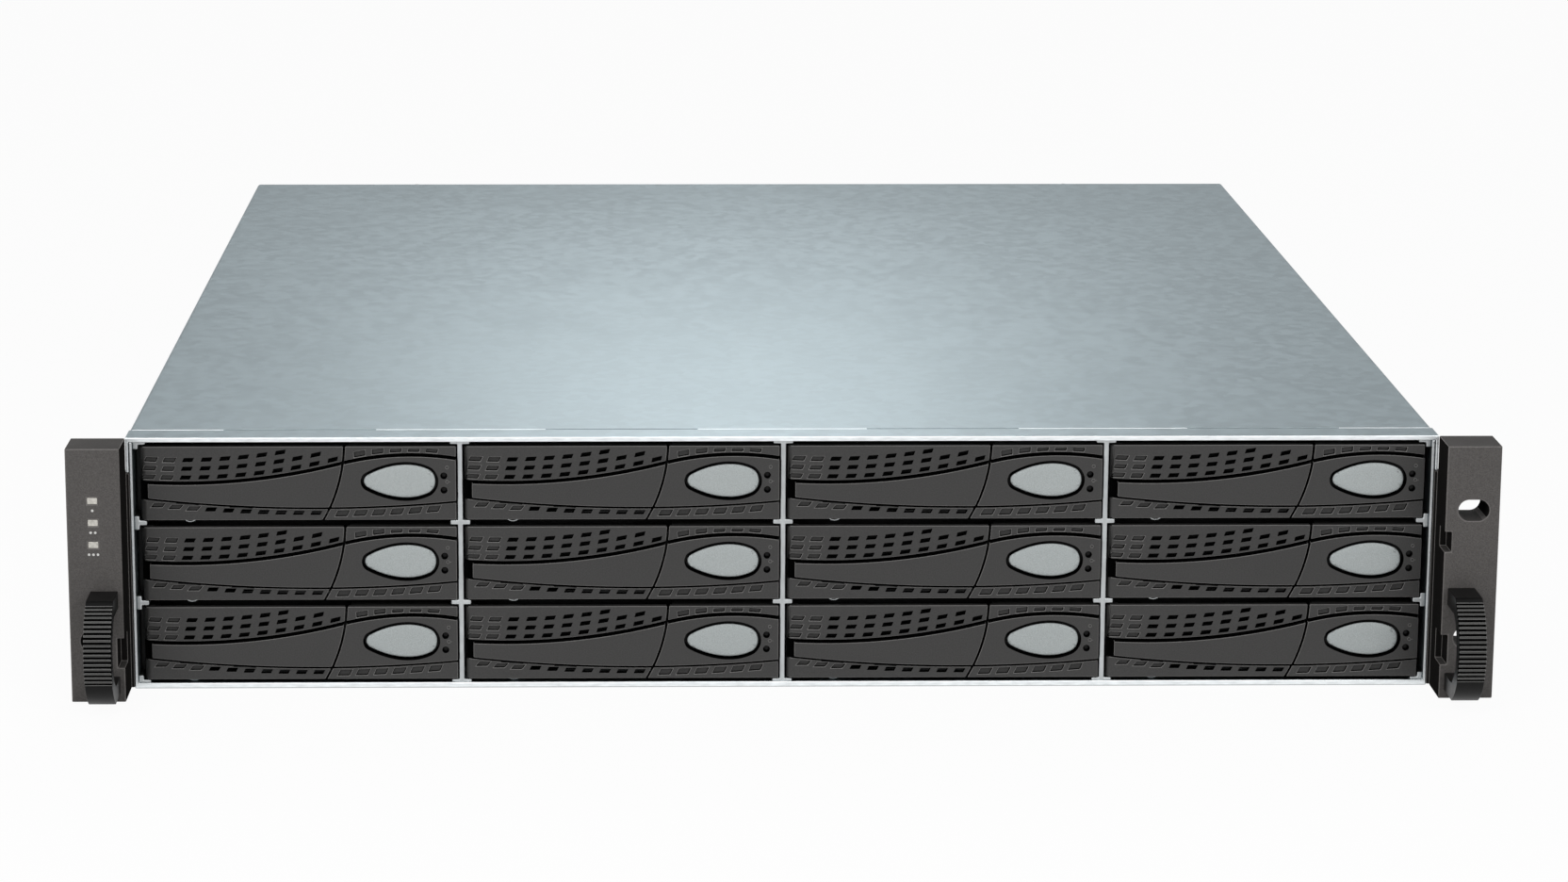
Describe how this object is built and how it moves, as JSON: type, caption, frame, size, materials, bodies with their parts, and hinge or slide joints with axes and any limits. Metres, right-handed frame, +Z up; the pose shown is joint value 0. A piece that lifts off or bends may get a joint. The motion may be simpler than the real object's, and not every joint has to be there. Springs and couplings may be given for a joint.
{
  "type": "storage array",
  "caption": "Rack-mount disk storage array: hot-swap drive carriers with vented levers and push buttons, rack ears with bow handles, sliding cover, rear controller and power modules.",
  "frame": {"origin": "middle of the base's underside", "axes": "+X to the right seen from the front, +Y from the front to the rear, +Z up"},
  "size_m": [0.4826, 0.6123, 0.088],
  "materials": {
    "galvanised_steel": "satin zinc-coated sheet",
    "bare_aluminium": "bright extruded edges",
    "dark_plastic": "fine moulded texture",
    "button_grey": "smooth satin",
    "ear_coat": "matte powder coat",
    "black_plastic": "satin",
    "lens": "clear moulding",
    "board_green": "solder mask",
    "screw_steel": "knurled",
    "module_shell": "satin sheet housing"
  },
  "bodies": {
    "chassis": {"chassis_tub": "galvanised_steel", "bay_dividers": "bare_aluminium", "front_rail": "galvanised_steel", "left_ear": "ear_coat", "right_ear": "ear_coat", "ear_handles": "black_plastic", "status_lenses": "lens", "midplane": "board_green", "module_cage": "galvanised_steel", "rear_rail": "galvanised_steel"},
    "cover": {"top_cover": "galvanised_steel", "cover_thumbscrews": "screw_steel"},
    "carrier_01": {"drive_carrier_01": "dark_plastic"},
    "lever_01": {"carrier_lever_01": "dark_plastic"},
    "button_01": {"release_button_01": "button_grey"},
    "carrier_02": {"drive_carrier_02": "dark_plastic"},
    "lever_02": {"carrier_lever_02": "dark_plastic"},
    "button_02": {"release_button_02": "button_grey"},
    "carrier_03": {"drive_carrier_03": "dark_plastic"},
    "lever_03": {"carrier_lever_03": "dark_plastic"},
    "button_03": {"release_button_03": "button_grey"},
    "carrier_04": {"drive_carrier_04": "dark_plastic"},
    "lever_04": {"carrier_lever_04": "dark_plastic"},
    "button_04": {"release_button_04": "button_grey"},
    "carrier_05": {"drive_carrier_05": "dark_plastic"},
    "lever_05": {"carrier_lever_05": "dark_plastic"},
    "button_05": {"release_button_05": "button_grey"},
    "carrier_06": {"drive_carrier_06": "dark_plastic"},
    "lever_06": {"carrier_lever_06": "dark_plastic"},
    "button_06": {"release_button_06": "button_grey"},
    "carrier_07": {"drive_carrier_07": "dark_plastic"},
    "lever_07": {"carrier_lever_07": "dark_plastic"},
    "button_07": {"release_button_07": "button_grey"},
    "carrier_08": {"drive_carrier_08": "dark_plastic"},
    "lever_08": {"carrier_lever_08": "dark_plastic"},
    "button_08": {"release_button_08": "button_grey"},
    "carrier_09": {"drive_carrier_09": "dark_plastic"},
    "lever_09": {"carrier_lever_09": "dark_plastic"},
    "button_09": {"release_button_09": "button_grey"},
    "carrier_10": {"drive_carrier_10": "dark_plastic"},
    "lever_10": {"carrier_lever_10": "dark_plastic"},
    "button_10": {"release_button_10": "button_grey"},
    "carrier_11": {"drive_carrier_11": "dark_plastic"},
    "lever_11": {"carrier_lever_11": "dark_plastic"},
    "button_11": {"release_button_11": "button_grey"},
    "carrier_12": {"drive_carrier_12": "dark_plastic"},
    "lever_12": {"carrier_lever_12": "dark_plastic"},
    "button_12": {"release_button_12": "button_grey"},
    "controller_lower": {"controller_lower": "module_shell"},
    "controller_lower_lever": {"controller_lower_lever": "black_plastic"},
    "controller_upper": {"controller_upper": "module_shell"},
    "controller_upper_lever": {"controller_upper_lever": "black_plastic"},
    "power_left": {"power_left": "module_shell"},
    "power_left_latch": {"power_left_latch": "black_plastic"},
    "power_left_switch": {"power_left_switch": "black_plastic"},
    "fan_left": {"fan_left": "black_plastic"},
    "power_right": {"power_right": "module_shell"},
    "power_right_latch": {"power_right_latch": "black_plastic"},
    "power_right_switch": {"power_right_switch": "black_plastic"},
    "fan_right": {"fan_right": "black_plastic"}
  },
  "joints": [
    {"name": "cover_slide", "type": "slide", "parent": "chassis", "child": "cover", "axis": [0, 1, 0], "range_m": [0, 0.012]},
    {"name": "carrier_01_slide", "type": "slide", "parent": "chassis", "child": "carrier_01", "axis": [0, -1, 0], "range_m": [0, 0.18]},
    {"name": "lever_01_hinge", "type": "hinge", "parent": "carrier_01", "child": "lever_01", "pos_m": [-0.2161, -0.267, 0.07217], "axis": [0, 0, -1], "range_deg": [0, 55]},
    {"name": "button_01_press", "type": "slide", "parent": "carrier_01", "child": "button_01", "axis": [0, 1, 0], "range_m": [0, 0.002], "stiffness_N_per_m": 500},
    {"name": "carrier_02_slide", "type": "slide", "parent": "chassis", "child": "carrier_02", "axis": [0, -1, 0], "range_m": [0, 0.18]},
    {"name": "lever_02_hinge", "type": "hinge", "parent": "carrier_02", "child": "lever_02", "pos_m": [-0.10622, -0.267, 0.07217], "axis": [0, 0, -1], "range_deg": [0, 55]},
    {"name": "button_02_press", "type": "slide", "parent": "carrier_02", "child": "button_02", "axis": [0, 1, 0], "range_m": [0, 0.002], "stiffness_N_per_m": 500},
    {"name": "carrier_03_slide", "type": "slide", "parent": "chassis", "child": "carrier_03", "axis": [0, -1, 0], "range_m": [0, 0.18]},
    {"name": "lever_03_hinge", "type": "hinge", "parent": "carrier_03", "child": "lever_03", "pos_m": [0.00365, -0.267, 0.07217], "axis": [0, 0, -1], "range_deg": [0, 55]},
    {"name": "button_03_press", "type": "slide", "parent": "carrier_03", "child": "button_03", "axis": [0, 1, 0], "range_m": [0, 0.002], "stiffness_N_per_m": 500},
    {"name": "carrier_04_slide", "type": "slide", "parent": "chassis", "child": "carrier_04", "axis": [0, -1, 0], "range_m": [0, 0.18]},
    {"name": "lever_04_hinge", "type": "hinge", "parent": "carrier_04", "child": "lever_04", "pos_m": [0.11353, -0.267, 0.07217], "axis": [0, 0, -1], "range_deg": [0, 55]},
    {"name": "button_04_press", "type": "slide", "parent": "carrier_04", "child": "button_04", "axis": [0, 1, 0], "range_m": [0, 0.002], "stiffness_N_per_m": 500},
    {"name": "carrier_05_slide", "type": "slide", "parent": "chassis", "child": "carrier_05", "axis": [0, -1, 0], "range_m": [0, 0.18]},
    {"name": "lever_05_hinge", "type": "hinge", "parent": "carrier_05", "child": "lever_05", "pos_m": [-0.2161, -0.267, 0.0441], "axis": [0, 0, -1], "range_deg": [0, 55]},
    {"name": "button_05_press", "type": "slide", "parent": "carrier_05", "child": "button_05", "axis": [0, 1, 0], "range_m": [0, 0.002], "stiffness_N_per_m": 500},
    {"name": "carrier_06_slide", "type": "slide", "parent": "chassis", "child": "carrier_06", "axis": [0, -1, 0], "range_m": [0, 0.18]},
    {"name": "lever_06_hinge", "type": "hinge", "parent": "carrier_06", "child": "lever_06", "pos_m": [-0.10622, -0.267, 0.0441], "axis": [0, 0, -1], "range_deg": [0, 55]},
    {"name": "button_06_press", "type": "slide", "parent": "carrier_06", "child": "button_06", "axis": [0, 1, 0], "range_m": [0, 0.002], "stiffness_N_per_m": 500},
    {"name": "carrier_07_slide", "type": "slide", "parent": "chassis", "child": "carrier_07", "axis": [0, -1, 0], "range_m": [0, 0.18]},
    {"name": "lever_07_hinge", "type": "hinge", "parent": "carrier_07", "child": "lever_07", "pos_m": [0.00365, -0.267, 0.0441], "axis": [0, 0, -1], "range_deg": [0, 55]},
    {"name": "button_07_press", "type": "slide", "parent": "carrier_07", "child": "button_07", "axis": [0, 1, 0], "range_m": [0, 0.002], "stiffness_N_per_m": 500},
    {"name": "carrier_08_slide", "type": "slide", "parent": "chassis", "child": "carrier_08", "axis": [0, -1, 0], "range_m": [0, 0.18]},
    {"name": "lever_08_hinge", "type": "hinge", "parent": "carrier_08", "child": "lever_08", "pos_m": [0.11353, -0.267, 0.0441], "axis": [0, 0, -1], "range_deg": [0, 55]},
    {"name": "button_08_press", "type": "slide", "parent": "carrier_08", "child": "button_08", "axis": [0, 1, 0], "range_m": [0, 0.002], "stiffness_N_per_m": 500},
    {"name": "carrier_09_slide", "type": "slide", "parent": "chassis", "child": "carrier_09", "axis": [0, -1, 0], "range_m": [0, 0.18]},
    {"name": "lever_09_hinge", "type": "hinge", "parent": "carrier_09", "child": "lever_09", "pos_m": [-0.2161, -0.267, 0.01603], "axis": [0, 0, -1], "range_deg": [0, 55]},
    {"name": "button_09_press", "type": "slide", "parent": "carrier_09", "child": "button_09", "axis": [0, 1, 0], "range_m": [0, 0.002], "stiffness_N_per_m": 500},
    {"name": "carrier_10_slide", "type": "slide", "parent": "chassis", "child": "carrier_10", "axis": [0, -1, 0], "range_m": [0, 0.18]},
    {"name": "lever_10_hinge", "type": "hinge", "parent": "carrier_10", "child": "lever_10", "pos_m": [-0.10622, -0.267, 0.01603], "axis": [0, 0, -1], "range_deg": [0, 55]},
    {"name": "button_10_press", "type": "slide", "parent": "carrier_10", "child": "button_10", "axis": [0, 1, 0], "range_m": [0, 0.002], "stiffness_N_per_m": 500},
    {"name": "carrier_11_slide", "type": "slide", "parent": "chassis", "child": "carrier_11", "axis": [0, -1, 0], "range_m": [0, 0.18]},
    {"name": "lever_11_hinge", "type": "hinge", "parent": "carrier_11", "child": "lever_11", "pos_m": [0.00365, -0.267, 0.01603], "axis": [0, 0, -1], "range_deg": [0, 55]},
    {"name": "button_11_press", "type": "slide", "parent": "carrier_11", "child": "button_11", "axis": [0, 1, 0], "range_m": [0, 0.002], "stiffness_N_per_m": 500},
    {"name": "carrier_12_slide", "type": "slide", "parent": "chassis", "child": "carrier_12", "axis": [0, -1, 0], "range_m": [0, 0.18]},
    {"name": "lever_12_hinge", "type": "hinge", "parent": "carrier_12", "child": "lever_12", "pos_m": [0.11353, -0.267, 0.01603], "axis": [0, 0, -1], "range_deg": [0, 55]},
    {"name": "button_12_press", "type": "slide", "parent": "carrier_12", "child": "button_12", "axis": [0, 1, 0], "range_m": [0, 0.002], "stiffness_N_per_m": 500},
    {"name": "controller_lower_slide", "type": "slide", "parent": "chassis", "child": "controller_lower", "axis": [0, 1, 0], "range_m": [0, 0.2]},
    {"name": "controller_lower_lever_hinge", "type": "hinge", "parent": "controller_lower", "child": "controller_lower_lever", "pos_m": [-0.10195, 0.276, 0.02035], "axis": [0, 0, 1], "range_deg": [0, 70]},
    {"name": "controller_upper_slide", "type": "slide", "parent": "chassis", "child": "controller_upper", "axis": [0, 1, 0], "range_m": [0, 0.2]},
    {"name": "controller_upper_lever_hinge", "type": "hinge", "parent": "controller_upper", "child": "controller_upper_lever", "pos_m": [-0.10195, 0.276, 0.05985], "axis": [0, 0, 1], "range_deg": [0, 70]},
    {"name": "power_left_slide", "type": "slide", "parent": "chassis", "child": "power_left", "axis": [0, 1, 0], "range_m": [0, 0.2]},
    {"name": "power_left_latch_slide", "type": "slide", "parent": "power_left", "child": "power_left_latch", "axis": [1, 0, 0], "range_m": [0, 0.003], "stiffness_N_per_m": 600},
    {"name": "power_left_switch_hinge", "type": "hinge", "parent": "power_left", "child": "power_left_switch", "pos_m": [-0.20465, 0.2705, 0.0417], "axis": [-1, 0, 0], "range_deg": [0, 20]},
    {"name": "fan_left_spin", "type": "hinge", "parent": "power_left", "child": "fan_left", "pos_m": [-0.15015, 0.2585, 0.0401], "axis": [0, 1, 0], "continuous": true},
    {"name": "power_right_slide", "type": "slide", "parent": "chassis", "child": "power_right", "axis": [0, 1, 0], "range_m": [0, 0.2]},
    {"name": "power_right_latch_slide", "type": "slide", "parent": "power_right", "child": "power_right_latch", "axis": [1, 0, 0], "range_m": [0, 0.003], "stiffness_N_per_m": 600},
    {"name": "power_right_switch_hinge", "type": "hinge", "parent": "power_right", "child": "power_right_switch", "pos_m": [0.13165, 0.2705, 0.0417], "axis": [-1, 0, 0], "range_deg": [0, 20]},
    {"name": "fan_right_spin", "type": "hinge", "parent": "power_right", "child": "fan_right", "pos_m": [0.18615, 0.2585, 0.0401], "axis": [0, 1, 0], "continuous": true}
  ]
}
